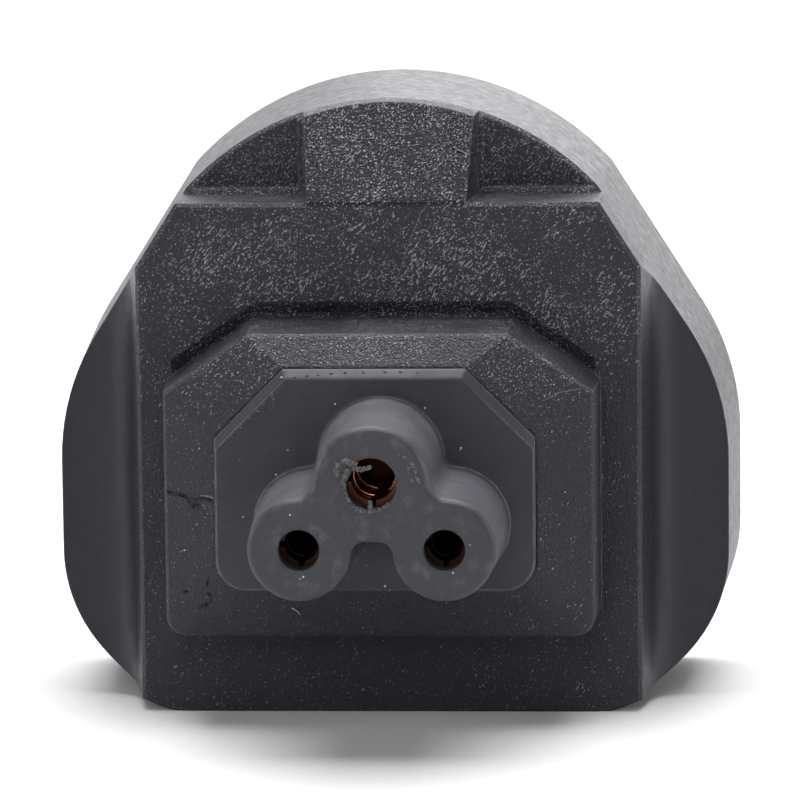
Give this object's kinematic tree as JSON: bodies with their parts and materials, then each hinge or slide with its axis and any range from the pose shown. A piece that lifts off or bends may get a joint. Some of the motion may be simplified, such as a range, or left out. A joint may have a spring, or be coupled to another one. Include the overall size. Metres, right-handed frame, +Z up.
{
  "type": "plug adapter",
  "caption": "One-piece over-moulded plug adapter: a three-pin plug with a flat foot, and a cloverleaf outlet nose on a raised collar at the front.",
  "frame": {"origin": "on the pin face, midway between the line and neutral pins", "axes": "+Y along the pins, away from the outlet; +Z up to the earth pin; +X to the right seen from the outlet"},
  "size_m": [0.0508, 0.0627, 0.0451],
  "materials": {
    "body_plastic": "spark-eroded grain, dark grey",
    "insert_plastic": "smooth satin, dark grey",
    "bridge_plastic": "smooth satin, dark grey",
    "carrier_plastic": "smooth satin, dark grey",
    "sleeve_plastic": "smooth, black",
    "pin_brass": "drawn and lightly polished",
    "contact_copper": "rolled copper alloy",
    "fuse_ceramic": "glazed white ceramic",
    "fuse_cap_metal": "nickel plate"
  },
  "bodies": {
    "adapter": {"overmould": "body_plastic", "outlet_insert": "insert_plastic", "contact_locator": "bridge_plastic", "pin_bridge": "bridge_plastic", "bridge_cover": "bridge_plastic", "earth_pin": "pin_brass", "line_pin": "pin_brass", "neutral_pin": "pin_brass", "line_pin_sleeve": "sleeve_plastic", "neutral_pin_sleeve": "sleeve_plastic", "earth_contact": "contact_copper", "line_contact": "contact_copper", "neutral_contact": "contact_copper", "earth_strap": "contact_copper", "neutral_strap": "contact_copper", "line_fuse_clip": "contact_copper", "load_fuse_clip": "contact_copper"},
    "fuse_drawer": {"fuse_carrier": "carrier_plastic", "fuse_tube": "fuse_ceramic", "fuse_cap_line": "fuse_cap_metal", "fuse_cap_load": "fuse_cap_metal", "fuse_wire": "fuse_cap_metal"}
  },
  "joints": [
    {"name": "fuse_drawer_slide", "type": "slide", "parent": "adapter", "child": "fuse_drawer", "axis": [0, 1, 0], "range_m": [0, 0.013]}
  ]
}
